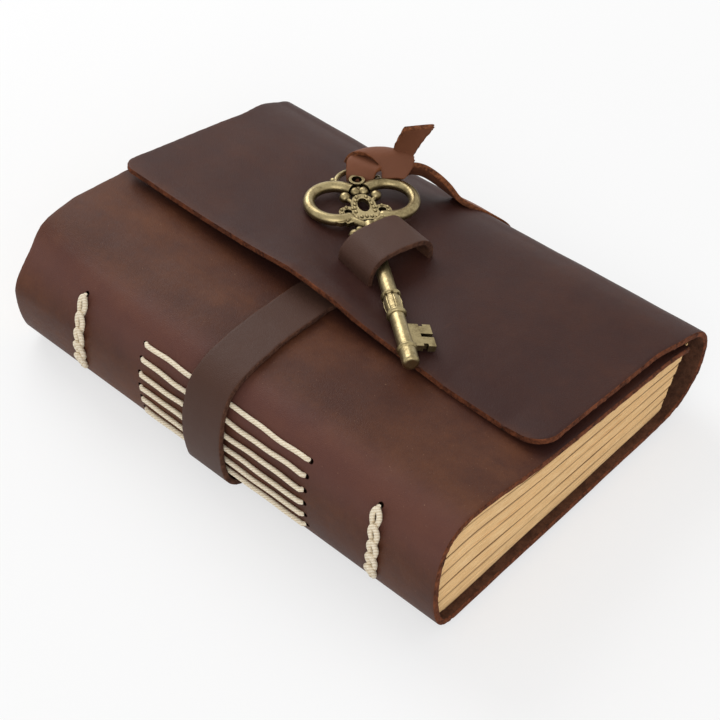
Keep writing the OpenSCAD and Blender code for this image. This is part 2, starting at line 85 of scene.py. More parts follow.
def spline(points, steps):
    """Catmull-Rom curve: cubic pieces through every point, tangents from the neighbours."""
    p = np.asarray(points, float)
    before, after = np.vstack([p[:1], p[:-2]]), np.vstack([p[2:], p[-1:]])
    a, b, c, d = before, p[:-1], p[1:], after
    k = (np.arange(steps) / steps)[None, :, None]
    a, b, c, d = (q[:, None, :] for q in (a, b, c, d))
    curve = 0.5 * (2 * b + (c - a) * k + (2 * a - 5 * b + 4 * c - d) * k**2
                   + (3 * b - a - 3 * c + d) * k**3)
    return np.vstack([curve.reshape(-1, p.shape[1]), p[-1:]])


def lengths(path):
    """Distance along a path at each of its points."""
    return np.concatenate([[0], np.cumsum(np.linalg.norm(np.diff(path, axis=0), axis=1))])


def at_lengths(path, where):
    """Points of a path at the given distances along it."""
    run = lengths(path)
    return np.stack([np.interp(where, run, path[:, k]) for k in range(path.shape[1])], 1)


def unit(v):
    """Vectors of length one."""
    return v / np.maximum(np.linalg.norm(v, axis=-1, keepdims=True), 1e-12)


def smooth(low, high, x):
    """0 below low, 1 above high, and 3k^2 - 2k^3 between."""
    k = np.clip((x - low) / (high - low), 0, 1)
    return k * k * (3 - 2 * k)


# %% [markdown]
# ## Camera and stage
# The camera's place was worked out from the book's straight edges in the photograph. The lens
# is long, so the book's sides hardly converge. The floor and the light stay plain: the floor
# is white to the camera and keeps the book's soft shadow.

# %% Camera at the photograph's view
LENS_PX, YAW, PITCH, ROLL = 1825.27, 0.740458776, 0.800765432, 0.0013354
eye = np.array([-244.844, -282.490, 431.990]) * (178 / 180)
look = np.array([math.cos(YAW) * math.cos(PITCH), math.sin(YAW) * math.cos(PITCH), -math.sin(PITCH)])
right = unit(np.cross(look, [0, 0, 1]))
up = np.cross(right, look)
right, up = (math.cos(ROLL) * right + math.sin(ROLL) * up, -math.sin(ROLL) * right + math.cos(ROLL) * up)
camera_data = bpy.data.cameras.new("camera")
camera_data.sensor_width = 36
camera_data.lens = LENS_PX / 720 * 36
camera_data.clip_end = 20
camera = bpy.data.objects.new("camera", camera_data)
pose = Matrix.Identity(4)
for column, axis in enumerate((right, up, -look, world(eye))):
    for row in range(3):
        pose[row][column] = axis[row]
camera.matrix_world = pose
bpy.context.scene.collection.objects.link(camera)
bpy.context.scene.camera = camera
print("camera lens", round(camera_data.lens, 2), "mm at", [round(v, 3) for v in world(eye)])

# %% [markdown]
# ## Finishes as expressions
# A finish is a tree of shader nodes. `Finish` starts one, `node` adds any node to it, and a
# `Value` wraps a socket so that arithmetic on it adds Math nodes by itself.


# %% The two small classes that every finish uses
class Value:
    """A socket that can be added, subtracted, multiplied, divided and raised."""

    def __init__(self, finish, socket):
        self.finish, self.socket = finish, socket

    def math(self, operation, *others):
        return self.finish.node("Math", {"operation": operation}, dict(enumerate((self,) + others)))

    def __add__(self, other):
        return self.math("ADD", other)

    def __sub__(self, other):
        return self.math("SUBTRACT", other)

    def __rsub__(self, other):
        return self.finish.node("Math", {"operation": "SUBTRACT"}, {0: other, 1: self})

    def __mul__(self, other):
        return self.math("MULTIPLY", other)

    def __truediv__(self, other):
        return self.math("DIVIDE", other)

    def __rtruediv__(self, other):
        return self.finish.node("Math", {"operation": "DIVIDE"}, {0: other, 1: self})

    def __pow__(self, other):
        return self.math("POWER", other)

    __radd__, __rmul__ = __add__, __mul__

    def step(self, low, high):
        """Smoothly 0 below low and 1 above high."""
        return self.finish.node("MapRange", {"interpolation_type": "SMOOTHSTEP"},
                                {0: self, 1: low, 2: high, 3: 0.0, 4: 1.0})


class Finish:
    """One material, built from nodes round a Principled shader."""

    def __init__(self, name):
        self.material = bpy.data.materials.new(name)
        self.material.use_nodes = True
        self.tree = self.material.node_tree
        self.tree.nodes.clear()
        self.shader = self.tree.nodes.new("ShaderNodeBsdfPrincipled")
        output = self.tree.nodes.new("ShaderNodeOutputMaterial")
        self.tree.links.new(self.shader.outputs[0], output.inputs[0])
        self.place = self.node("TexCoord", out="Object")

    def node(self, kind, settings=None, values=None, out=0):
        """Adds a node: settings first, then a value or a link for each named socket."""
        made = self.tree.nodes.new("ShaderNode" + kind)
        for key, value in (settings or {}).items():
            if key == "stops":
                ramp = made.color_ramp
                while len(ramp.elements) < len(value):
                    ramp.elements.new(0.5)
                for element, (position, colour) in zip(ramp.elements, value):
                    element.position, element.color = position, (*colour, 1)
            else:
                setattr(made, key, value)
        for key, value in (values or {}).items():
            self.put(made.inputs[key], value)
        return Value(self, made.outputs[out])

    def put(self, socket, value):
        """Links a Value to a socket, or sets a plain number or colour on it."""
        if isinstance(value, Value):
            self.tree.links.new(value.socket, socket)
        elif socket.type == "RGBA" and len(value) == 3:
            socket.default_value = (*value, 1)
        else:
            socket.default_value = value

    def noise(self, scale, detail=4.0, rough=0.55, where=None, stretch=None, kind="Fac"):
        """Soft random values; scale counts features per metre."""
        where = where or self.place
        if stretch is not None:
            where = self.node("Mapping", {}, {"Vector": where, "Scale": stretch})
        return self.node("TexNoise", {}, {"Vector": where, "Scale": scale, "Detail": detail,
                                          "Roughness": rough}, out=kind)

    def mix(self, factor, low, high):
        """Colour between low and high."""
        return self.node("Mix", {"data_type": "RGBA"}, {0: factor, 6: low, 7: high}, out=2)

    def bump(self, height, distance, strength=1.0, normal=None):
        """Surface relief of the given depth in metres."""
        values = {"Height": height, "Distance": distance, "Strength": strength}
        if normal is not None:
            values["Normal"] = normal
        return self.node("Bump", {}, values)

    def axes(self):
        """The x, y and z of the piece's own place, in metres."""
        made = self.tree.nodes.new("ShaderNodeSeparateXYZ")
        self.put(made.inputs[0], self.place)
        return tuple(Value(self, made.outputs[k]) for k in range(3))

    def set(self, **sockets):
        """Puts values on the Principled shader, with spaces written as underscores."""
        for name, value in sockets.items():
            self.put(self.shader.inputs[name.replace("_", " ")], value)
        return self.material


# %% [markdown]
# ## Oiled leather
# The cover is oiled "pull-up" leather: nearly black-brown when at rest, and paler and redder
# wherever it has been bent or rubbed. A picture of leather would repeat and stretch, so the
# wear is worked out from noise instead: slow noise gives the large worn patches and finer
# noise mottles them, noise stretched one way gives the faint scratches, and cells about 0.7 mm
# wide give the grain. The front cover and the spine are handled most. Where the leather was
# cut, it shows brown fibres, so the cut edge has a finish of its own.

# %% Leather finishes
OIL_DARK, OIL_MID, OIL_PALE = (0.034, 0.0120, 0.0095), (0.070, 0.0230, 0.0115), (0.150, 0.055, 0.023)


def oiled_leather(name, dark, middle, pale, wear_and_sheen=0.0, gloss=0.5):
    """Grain side of the leather. The wear-and-sheen number adds wear on the front cover and the
    spine, and a painted sheen along the spine's rounded top: a rosy highlight mixed into the
    base colour. The wear is a sum of noises from 14 to 1300 a metre, and it moves the colour
    from dark to middle and then to pale."""
    f = Finish(name)
    x, y, z = f.axes()
    clouds = f.noise(14, 4, 0.55)
    patches = f.noise(62, 5, 0.68)
    mottle = f.noise(210, 4, 0.7)
    flap_line = f.noise(9, 2, 0.5) * 0.004 - 0.0185
    handled = (1 - (x - flap_line).step(-0.003, 0.004)) * wear_and_sheen
    sweep = f.noise(85, 3, 0.6, stretch=(1.0, 0.3, 1.0)).step(0.42, 0.75)
    fine = f.noise(1300, 3, 0.7)
    wear = clouds * 0.46 + patches * 0.30 + mottle * 0.16 + fine * 0.12 + handled * 0.25 - 0.03
    colour = f.mix(wear.step(0.40, 0.82), dark, middle)
    rubbed = (wear + sweep * 0.1).step(0.66, 1.0)
    colour = f.mix(rubbed * 0.62, colour, pale)
    # painted sheen: a rosy highlight painted into the base colour on the spine's rounded top, scaled by the
    # wear-and-sheen number
    shoulder = z.step(0.024, 0.037) * (1 - x.step(-0.0575, -0.045)) * wear_and_sheen
    colour = f.mix(shoulder * 0.55, colour, (0.125, 0.052, 0.043))
    scratch_a = f.noise(420, 2, 0.5, stretch=(1.0, 0.13, 1.0)).step(0.69, 0.76)
    scratch_b = f.noise(380, 2, 0.5, stretch=(0.16, 1.0, 1.0)).step(0.70, 0.77)
    marks = (scratch_a + scratch_b) * f.noise(40, 2).step(0.5, 0.7) * (handled * 0.35 + 0.12)
    colour = f.mix(marks, colour, pale)
    specks = f.noise(1900, 1, 0.5).step(0.74, 0.80)
    colour = f.mix(specks * (handled * 0.3 + 0.08), colour, (0.33, 0.19, 0.11))
    cells = f.node("TexVoronoi", {"feature": "DISTANCE_TO_EDGE"},
                   {"Vector": f.place, "Scale": 1450.0}, out="Distance")
    grain = cells.step(0.0, 0.14) * 0.5 + f.noise(2500, 3, 0.6) * 0.5
    folds = f.noise(120, 4, 0.55)
    relief = f.bump(folds, 0.0005, 0.35, f.bump(grain, 0.00007, 0.7))
    rough = clouds * 0.10 + mottle * 0.10 + rubbed * 0.05 + (gloss - 0.10)
    return f.set(Base_Color=colour, Roughness=rough, Normal=relief, Specular_IOR_Level=0.16,
                 Specular_Tint=(1.0, 0.90, 0.88))


def raw_leather(name, pale, deep, size=900):
    """Cut edges and the flesh side: fibres of several browns standing up from the cut."""
    f = Finish(name)
    fibres = f.noise(size, 6, 0.75)
    clumps = f.noise(size * 0.3, 4, 0.6)
    colour = f.mix((fibres * 0.65 + clumps * 0.45).step(0.36, 0.74), deep, pale)
    relief = f.bump(fibres, 0.0005, 0.9)
    return f.set(Base_Color=colour, Roughness=0.9, Normal=relief, Specular_IOR_Level=0.15)


cover_grain = oiled_leather("cover_grain", OIL_DARK, OIL_MID, OIL_PALE, 1.0)
strap_grain = oiled_leather("strap_grain", (0.062, 0.030, 0.021), (0.086, 0.041, 0.028),
                            (0.135, 0.064, 0.040), 0.0)
cut_edge = raw_leather("cut_edge", (0.215, 0.066, 0.027), (0.030, 0.010, 0.006))
strap_edge = raw_leather("strap_edge", (0.135, 0.060, 0.036), (0.036, 0.015, 0.010))
flesh_side = raw_leather("flesh_side", (0.115, 0.05, 0.028), (0.045, 0.018, 0.010), 500)
lace_grain = oiled_leather("lace_grain", (0.165, 0.062, 0.032), (0.23, 0.090, 0.048), (0.34, 0.15, 0.085),
                           0.0, 0.56)
lace_edge = raw_leather("lace_edge", (0.30, 0.105, 0.042), (0.04, 0.013, 0.007), 1100)
print("leather finishes:", ", ".join(m.name for m in (cover_grain, strap_grain, lace_grain, cut_edge,
                                                      strap_edge, lace_edge, flesh_side)))

# %% [markdown]
# ## Surfaces from grids
# Almost every piece here is a sheet or a rod. A sheet is a grid of middle points that gets a
# grain face, a flesh face and a rounded rim where it was cut. A rod is a ring of points
# carried along a path. Both are computed as whole arrays.


# %% Mesh helpers
def add_piece(name, points, faces, materials, body="journal", face_slots=None, smooth_faces=True):
    """Makes one object from millimetre points and, given a body, parents it to an empty of that name."""
    mesh = bpy.data.meshes.new(name)
    mesh.from_pydata(world(points).tolist(), [], faces.tolist() if hasattr(faces, "tolist") else faces)
    for material in materials:
        mesh.materials.append(material)
    if face_slots is not None:
        mesh.polygons.foreach_set("material_index", np.asarray(face_slots, np.int32))
    mesh.polygons.foreach_set("use_smooth", np.full(len(mesh.polygons), smooth_faces))
    mesh.validate()
    piece = bpy.data.objects.new(name, mesh)
    bpy.context.scene.collection.objects.link(piece)
    if body is not None:
        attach(piece, body)
    print(name, len(mesh.polygons), "faces")
    return piece


def grid_quads(rows, columns, close_rows=False, close_columns=False):
    """Quads of a grid of points numbered row by row."""
    i = np.arange(rows if close_rows else rows - 1)[:, None]
    j = np.arange(columns if close_columns else columns - 1)[None, :]
    i2, j2 = (i + 1) % rows, (j + 1) % columns
    return np.stack([i * columns + j, i2 * columns + j, i2 * columns + j2,
                     i * columns + j2], -1).reshape(-1, 4)


def thick_sheet(middle, thickness, rim_bulge=0.3, ragged=0.0, seed=1):
    """A sheet from a grid of middle points: both faces lie half the thickness away along the
    normal, and the rim is a nearly square band round the grid's border, roughened by ragged."""
    rows, columns = middle.shape[:2]
    normal = unit(np.cross(np.gradient(middle, axis=0), np.gradient(middle, axis=1)))
    half = thickness / 2
    grain, flesh = middle + normal * half, middle - normal * half
    index = np.arange(rows * columns).reshape(rows, columns)
    border = np.concatenate([index[0, :-1], index[:-1, -1], index[-1, :0:-1], index[:0:-1, 0]])
    inner = np.concatenate([index[1, :-1], index[:-1, -2], index[-2, :0:-1], index[:0:-1, 1]])
    flat_middle, flat_normal = middle.reshape(-1, 3), normal.reshape(-1, 3)
    outward = unit(flat_middle[border] - flat_middle[inner])
    rng = np.random.default_rng(seed)
    rims = []
    for height, reach in ((0.93, 0.55), (0.7, 0.95), (0.25, 1.0),
                          (-0.25, 1.0), (-0.7, 0.95), (-0.93, 0.55)):
        out = reach * (rim_bulge + ragged * rng.standard_normal(len(border)))
        rims.append(flat_middle[border] + flat_normal[border] * half * height + outward * out[:, None])
    points = np.vstack([grain.reshape(-1, 3), flesh.reshape(-1, 3)] + rims)
    count, ring = rows * columns, len(border)
    top = grid_quads(rows, columns)
    bottom = top[:, ::-1] + count
    loops = [border] + [2 * count + k * ring + np.arange(ring) for k in range(len(rims))] + [border + count]
    sides = [np.stack([a, b, np.roll(b, -1), np.roll(a, -1)], -1) for a, b in zip(loops[:-1], loops[1:])]
    faces = np.vstack([top, bottom] + [s[:, ::-1] for s in sides])
    slots = np.concatenate([np.zeros(len(top)), np.full(len(bottom), 2), np.ones(ring * len(sides))])
    return points, faces, slots.astype(int)


def rod(path, radius, sides=12, closed=False, flatten=1.0, up=(0, 0, 1.0)):
    """A tube: a ring of points carried along a path; radius may change along it, and flatten
    squeezes it along the direction nearest to up. Open ends get a point cap."""
    path = np.asarray(path, float)
    ahead = unit(np.roll(path, -1, 0) - np.roll(path, 1, 0)) if closed else unit(np.gradient(path, axis=0))
    up = np.broadcast_to(np.asarray(up, float), path.shape)
    rise = unit(up - (up * ahead).sum(1, keepdims=True) * ahead)
    side = np.cross(ahead, rise)
    a = np.linspace(0, 2 * math.pi, sides, endpoint=False)[None, :, None]
    r = np.broadcast_to(np.asarray(radius, float), (len(path),))[:, None, None]
    ring = path[:, None] + r * (np.cos(a) * side[:, None] + flatten * np.sin(a) * rise[:, None])
    points, n = ring.reshape(-1, 3), len(path)
    faces = grid_quads(n, sides, closed, True)[:, ::-1].tolist()
    if not closed:
        points = np.vstack([points, path[:1] - ahead[:1] * r[0, 0] * 0.4,
                            path[-1:] + ahead[-1:] * r[-1, 0] * 0.4])
        k = np.arange(sides)
        first = np.stack([np.full(sides, n * sides), (k + 1) % sides, k], -1)
        rim = (n - 1) * sides
        last = np.stack([np.full(sides, n * sides + 1), rim + k, rim + (k + 1) % sides], -1)
        faces += first[:, ::-1].tolist() + last[:, ::-1].tolist()
    return points, faces


def joined(parts):
    """Several (points, faces) as one."""
    points, faces, base = [], [], 0
    for p, f in parts:
        points.append(p)
        faces += [[v + base for v in face] for face in f]
        base += len(p)
    return np.vstack(points), faces


# %% [markdown]
# ## The cover's outline
# Seen from its end, the cover is one long line: from under the flap over the front cover to
# the spine, down and under the book, round the fore-edge and back as the flap. The points
# are the CAD model's own, so the surface lies where its solid does.

# %% Profile of the cover
lid = np.array([(0.965, 0.82), (0.88, 0.67), (0.75, 0.565), (0.58, 0.465), (0.46, 0.385),
                (0.36, 0.3), (0.28, 0.2), (0.2, 0.085), (0.13, 0.01)])
lid = np.stack([PAGE_W * lid[:, 0], SPINE_H - LID_DROP * lid[:, 1]], 1)
spine = np.array([(-2.35, 0.995), (-1, 0.952), (-0.05, 0.87), (0.55, 0.745), (0.88, 0.61),
                  (1, 0.46), (0.92, 0.315), (0.64, 0.18), (0.2, 0.08), (-0.6, 0.02), (-1.8, 0)])
spine = np.stack([-BULGE * spine[:, 0], SPINE_H * spine[:, 1]], 1)
flap_front = np.array([FLAP_X, SPINE_H - LID_DROP * 0.305 + 2.35 + LEATHER])
flap_back = flap_front + (PAGE_W - 20 - FLAP_X) * np.array([1, -math.tan(FLAP_SLOPE)])
fold = np.array([(29, 0), (19, 0.01), (12.8, 0.045), (7.4, 0.125), (3.2, 0.25), (0.8, 0.4),
                 (0, 0.565), (1.1, 0.72), (5, 0.855), (11.8, 0.938), (18.8, 0.98)])
fold = np.stack([WRAP_X - fold[:, 0], flap_back[1] * fold[:, 1]], 1)
lid_curve = spline(np.vstack([lid, spine]), 8)
fold_curve = spline(np.vstack([fold, flap_back]), 8)
flap_line = flap_back + np.linspace(0, 1, 30)[1:, None] * (flap_front - flap_back)
outer = np.vstack([lid_curve, fold_curve, flap_line])
spine_face = spline(spine, 4)[::-1]
spine_run = lengths(spine_face)[-1]
print("cover profile", round(lengths(outer)[-1], 1), "mm long, spine face", round(spine_run, 1), "mm")


def left_of(path):
    """Unit normals to the left of a path in the XZ plane, which is inwards here."""
    ahead = unit(np.gradient(path, axis=0))
    return np.stack([-ahead[:, 1], ahead[:, 0]], 1)


# %% [markdown]
# ## How the real book has settled
# The real book isn't straight: towards its head end the spine's shoulder is rounder, the
# front cover bulges and the fore-edge is lower, and the flap rides up where the strap passes
# under it. Modelling each piece bent would leave gaps between them. So every soft piece is made
# straight, and `settle` moves its points, and the pages, thread and strap follow the cover.
# Beside the key nothing rises, because the key is a casting that lies where the CAD model says.

# %% Lift of every point of the book
HEAD_X = [-4, 9, 13, 19, 26, 36, 45, 50, 70, 88, 102, 110, 118, 128]
HEAD_Z = [0, -0.3, 0.2, 1.7, 3.2, 4.1, 4.7, 4.7, 2.5, 0.5, -1.7, -3.4, -5.4, -5.4]


def settle(p):
    """Moves points: up or down by a table of x, in step with their height and with how far
    they are towards the head, and inwards at the shoulder of the spine. The lift fades within
    20 mm of the key's line, whose distance is that of a point from a straight line."""
    x, y, z = p[..., 0], p[..., 1], p[..., 2]
    to_head = np.clip((y + 89) / 178, 0, 1)
    at_fold = smooth(92, 112, x)
    weight = to_head * (1 - at_fold) + smooth(-0.12, 0.85, to_head) * at_fold
    weight = weight * np.clip(z / 36, 0, 1.1)
    from_key = np.abs((x - 40.7) * 0.8055 - (y + 40.9) * 0.5926)
    weight = weight * (1 - (1 - smooth(5, 20, from_key)) * smooth(44, 56, x) * (1 - smooth(92, 104, x)))
    q = p.copy()
    tail_rise = at_fold * 0.6 * smooth(-55, -89, y) * np.clip(z / 36, 0, 1)
    q[..., 2] = z + weight * np.interp(x, HEAD_X, HEAD_Z) + tail_rise
    shoulder = smooth(20, 37, z) * (1 - smooth(0, 15, x))
    q[..., 0] = x + 5.6 * shoulder * to_head ** 6
    q[..., 2] -= 1.6 * shoulder * to_head ** 6
    return q


def flap_lift(x, y):
    """Rise of the flap's front edge over the strap, gone where the key lies."""
    table_y = np.array([-89, -83, -73, -50, -41, -24, -15, -5.5, 3, 12, 22, 33, 55, 89])
    table_z = np.array([-0.4, -0.9, -2.0, -2.2, -1.5, -0.2, 1.1, 3.1, 3.9, 4.0, 2.8, 1.7, 0.9, 0.1])
    return np.interp(y, table_y, table_z) * (1 - smooth(FLAP_X, FLAP_X + 17, x))


print("the book's middle rises by", HEAD_Z[6], "mm at the head and the fold sinks by", -HEAD_Z[-1], "mm")

# %% [markdown]
# ## The cover
# One sheet of leather 2 mm thick. The profile gives its rows, and each row runs along the
# spine's direction and ends at the cover's or the flap's edge, with round corners on the flap.
# A few slow waves keep it from looking like a pressed sheet, and the rim is a little rough,
# because the real one was cut by hand.

# %% Build the cover
run = lengths(outer)
lid_end = lengths(lid_curve)[-1]
spine_start = lid_end - lengths(spline(spine, 8))[-1]
fold_start = run[len(lid_curve)]
fold_end = run[len(lid_curve) + len(fold_curve) - 1]
last_turn = run[-1] - FLAP_CORNER * (1 - np.cos(np.linspace(math.pi / 2, 0, 18)))
where = np.concatenate([np.linspace(0, spine_start, 62)[:-1], np.linspace(spine_start, lid_end, 62)[:-1],
                        np.linspace(lid_end, fold_start, 14)[:-1], np.linspace(fold_start, fold_end, 58)[:-1],
                        np.linspace(fold_end, last_turn[0], 34)[:-1], last_turn])
profile = at_lengths(outer, where)
middle_2d = profile + left_of(profile) * LEATHER / 2
on_flap = smooth(fold_end - 12, fold_end + 2, where)


def end_of_row(radius):
    """Half width of each row: the cover's, the flap's, and a quarter circle at the cut edge."""
    left = np.clip(run[-1] - where, 0, radius)
    return COVER_H / 2 - FLAP_INSET * on_flap - radius + np.sqrt(radius**2 - (radius - left) ** 2)


across = np.linspace(-1, 1, 171)
across = across * 0.985 + 0.015 * across**15
half_width = np.where(across[None, :] > 0, end_of_row(4.2)[:, None], end_of_row(FLAP_CORNER)[:, None])
sheet = np.empty((len(where), len(across), 3))
sheet[..., 0] = middle_2d[:, None, 0]
sheet[..., 1] = half_width * across[None, :]
sheet[..., 2] = middle_2d[:, None, 1]
sheet = settle(sheet)
sheet[..., 2] += on_flap[:, None] * flap_lift(sheet[..., 0], sheet[..., 1])
waves = (np.sin(sheet[..., 1] * 0.11 + 1.3 * np.sin(where[:, None] * 0.045)) * 0.22
         + np.sin(sheet[..., 1] * 0.31 + where[:, None] * 0.09) * 0.07)
sheet[..., 2] += waves * smooth(3, 20, sheet[..., 2]) * 0.6
points, faces, slots = thick_sheet(sheet[:, ::-1], LEATHER, 0.3, 0.09, 3)
cover = add_piece("cover_leather", points, faces, [cover_grain, cut_edge, flesh_side], face_slots=slots)
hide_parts("cover")

# %% [markdown]
# ## Pages
# Six signatures of kraft paper, each folded at the spine and torn along the fore-edge. Single
# leaves would be hundreds of thin sheets, and nobody sees more of them than their edges. So
# each end face is a grid whose rows stand in and out by a fraction of a millimetre, one row for
# each few leaves, and the finish draws the finer lines along a map of its own.

# %% Paper finish
f = Finish("kraft_paper")
leaf = f.node("UVMap", {"uv_map": "leaves"})
made = f.tree.nodes.new("ShaderNodeSeparateXYZ")
f.put(made.inputs[0], leaf)
along, through = Value(f, made.outputs[0]), Value(f, made.outputs[1])
stripe = f.node("CombineXYZ", {}, {0: along * 3.0, 1: through * 26.0, 2: 0.0})
lines = f.node("TexNoise", {}, {"Vector": stripe, "Scale": 1.0, "Detail": 3.0, "Roughness": 0.6}, out="Fac")
inside = through.math("FRACT")
# painted shade: the leaves at the top and bottom of each signature are darkened, standing in for the shade in the
# gaps between signatures
painted_gap_shade = 1 - (inside * (1 - inside) * 4).step(0.0, 0.28)
mottle = f.noise(60, 3)
colour = f.mix(lines.step(0.34, 0.68), (0.72, 0.445, 0.20), (0.93, 0.65, 0.34))
colour = f.mix(mottle.step(0.35, 0.7) * 0.3, colour, (0.80, 0.50, 0.23))
colour = f.mix(painted_gap_shade * 0.75, colour, (0.2, 0.1, 0.042))
paper = f.set(Base_Color=colour, Roughness=0.85, Normal=f.bump(lines, 0.0003, 0.7),
              Specular_IOR_Level=0.2)
print("paper finish:", len(f.tree.nodes), "nodes")

# %% Build the signatures
inner_lid = lid_curve + left_of(lid_curve) * (LEATHER + 0.35)
inner_fold = fold_curve + left_of(fold_curve) * (LEATHER + 0.1)
rng = np.random.default_rng(11)


def leaf_height(x, share):
    """Height inside the cover at x: share 0 is the back cover and 1 the front cover."""
    top = np.interp(x, inner_lid[72::-1, 0], inner_lid[72::-1, 1])
    low = np.interp(x, inner_fold[:33, 0], inner_fold[:33, 1])
    return low + (top - low) * share


def fold_nose(share):
    """How far towards the spine the folds reach at a share of the height."""
    z = 0.05 + 0.92 * share
    return np.maximum(np.interp(z, spine_face[:, 1] / SPINE_H, spine_face[:, 0]) + LEATHER + 0.1, 0.2)


def signature(i):
    """One signature: end faces as grids of x by leaf, walls swept along the spine's direction."""
    nx, nl, ny = 46, 20, 60
    a, b = np.linspace(0, 1, nx)[:, None], np.linspace(0, 1, nl)[None, :]
    share = (i + b) / SIGNATURES
    nose = fold_nose(share) + 2.4 * np.abs(2 * b - 1) ** 2.2
    end = PAGE_W - 11 * (1 - (i + 0.2 + 0.6 * b) / SIGNATURES)
    a = a ** 1.25
    x = nose + (end - nose) * a
    z = leaf_height(np.maximum(x, 9), share)
    pinch = 0.16 * np.sign(0.5 - b) * np.abs(2 * b - 1) ** 3
    z = z + pinch
    wobble = 0.16 * rng.standard_normal((1, nl)) + 0.1 * np.sin(x * 0.13 + 9 * rng.random((1, nl)))
    wobble += 0.25 * np.abs(2 * b - 1) ** 6
    tail = np.stack([x, -PAGE_H / 2 + np.abs(wobble) * 0.8, z], -1)
    head = np.stack([x, PAGE_H / 2 - np.abs(wobble) * 0.8, z], -1)
    index = np.arange(nx * nl).reshape(nx, nl)
    loop = np.concatenate([index[:-1, 0], index[-1, :-1], index[:0:-1, -1], index[0, :0:-1]])
    k = np.linspace(0, 1, ny)[:, None]
    walls = (tail.reshape(-1, 3)[loop][None] * (1 - k[..., None])
             + head.reshape(-1, 3)[loop][None] * k[..., None])
    fore = np.zeros((nx, nl))
    fore[-1] = 1
    torn = (0.5 * np.sin(47 * k + 2.3 * i) + 0.3 * np.sin(113 * k + i)
            + 0.5 * rng.standard_normal((ny, 1)) * 0.3)
    walls[..., 0] += torn * fore.reshape(-1)[loop][None] * 0.8
    points = np.vstack([tail.reshape(-1, 3), head.reshape(-1, 3), walls[1:-1].reshape(-1, 3)])
    n, ring = nx * nl, len(loop)
    quads = grid_quads(nx, nl)
    rows = [loop] + [2 * n + j * ring + np.arange(ring) for j in range(ny - 2)] + [loop + n]
    sides = np.vstack([np.stack([r, s, np.roll(s, -1), np.roll(r, -1)], -1)
                       for r, s in zip(rows[:-1], rows[1:])])
    faces = np.vstack([quads, quads[:, ::-1] + n, sides[:, ::-1]])
    flat_x, flat_b = (np.broadcast_to(v, (nx, nl)).reshape(-1) for v in (x, b))
    uv = np.stack([flat_x, i + flat_b * 0.998], 1)
    uv = np.vstack([uv, uv, np.tile(uv[loop], (ny - 2, 1))])
    return settle(points), faces, uv


parts = [signature(i) for i in range(SIGNATURES)]
base = np.cumsum([0] + [len(p[0]) for p in parts[:-1]])
page_faces = np.vstack([p[1] + b for p, b in zip(parts, base)])
pages = add_piece("page_block_paper", np.vstack([p[0] for p in parts]), page_faces, [paper],
                  smooth_faces=False)
layer = pages.data.uv_layers.new(name="leaves")
uv = np.vstack([p[2] for p in parts]) * np.array([0.001 * 40, 1.0])
loop_vertex = np.empty(len(pages.data.loops), np.int32)
pages.data.loops.foreach_get("vertex_index", loop_vertex)
layer.data.foreach_set("uv", uv[loop_vertex].astype(np.float32).reshape(-1))
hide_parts("page_block")

# %% [markdown]
# ## Sewing
# Waxed linen thread shows on the spine as six long stitches that pass under the strap and as
# two braids of chain stitches. Each long stitch dips into a punched hole at its ends and lies a
# little loose between them. A chain link is a drop-shaped loop, narrow where the next one
# catches it, so a closed rod along one curve makes a link, and its upper end lies over the next.

# %% Thread finish
f = Finish("waxed_thread")
twist = f.node("TexWave", {"wave_type": "BANDS", "bands_direction": "DIAGONAL"},
               {"Vector": f.place, "Scale": 480.0, "Distortion": 1.5, "Detail": 2.0}, out="Fac")
fuzz = f.noise(1800, 3)
colour = f.mix((twist * 0.3 + fuzz * 0.7).step(0.25, 0.7), (0.62, 0.50, 0.34), (0.86, 0.77, 0.60))
linen = f.set(Base_Color=colour, Roughness=0.62, Normal=f.bump(twist * 0.5 + fuzz * 0.5, 0.0001, 0.6),
              Specular_IOR_Level=0.35)
# painted shade: each punched hole is a small lens on the spine in a near-black colour, standing in for the shade
# inside the hole
f = Finish("punched_hole_painted_shade")
painted_hole_shade = f.set(Base_Color=f.mix(f.noise(900, 2), (0.006, 0.003, 0.002), (0.018, 0.007, 0.004)),
                  Roughness=1.0, Specular_IOR_Level=0.0)

print("thread finish and the dark of the punched holes are ready")

# %% Stations up the spine and the stitches on them
def station(i, extra=0.0):
    """Point, upward direction and outward direction of the i-th row of holes."""
    s = 0.34 * SPINE_H + i * 0.66 * SPINE_H / (SIGNATURES - 1) + extra
    p, q = at_lengths(spine_face, np.array([s, s + 1.0]))
    upward = unit(q - p)
    return p, upward, np.array([-upward[1], upward[0]])


def on_spine(i, outwards, y, extra=0.0):
    """Points at station i, raised outwards and placed along the spine at y."""
    p, _, out = station(i, extra)
    outwards, y = np.broadcast_arrays(np.asarray(outwards, float), np.asarray(y, float))
    return np.stack([p[0] + out[0] * outwards, y, p[1] + out[1] * outwards], -1)


stitches, holes = [], []
for i in range(SIGNATURES):
    y = np.concatenate([[29.6, 29.6, 29.3], np.linspace(28.7, -38.0, 60), [-38.7, -39.0, -39.0]])
    sway = 0.18 * np.sin(y * 0.21 + 2.1 * i) + 0.1 * np.sin(y * 0.47 + i)
    lift = np.concatenate([[-2.4, -0.9, 0.25], np.full(60, 0.62), [0.25, -0.9, -2.4]])
    path = on_spine(i, lift, y)
    _, upward, _ = station(i)
    path[3:-3, 0] += upward[0] * sway[3:-3]
    path[3:-3, 2] += upward[1] * sway[3:-3]
    stitches.append(rod(settle(path), 0.84, 10, flatten=0.86, up=(-1, 0, 0.15)))
    for y_hole in (30.0, -39.5):
        lens = on_spine(i, [-0.3, 0.02, 0.09], y_hole)
        holes.append(rod(settle(lens), [0.95, 0.95, 0.7], 14, up=(0, 1, 0)))


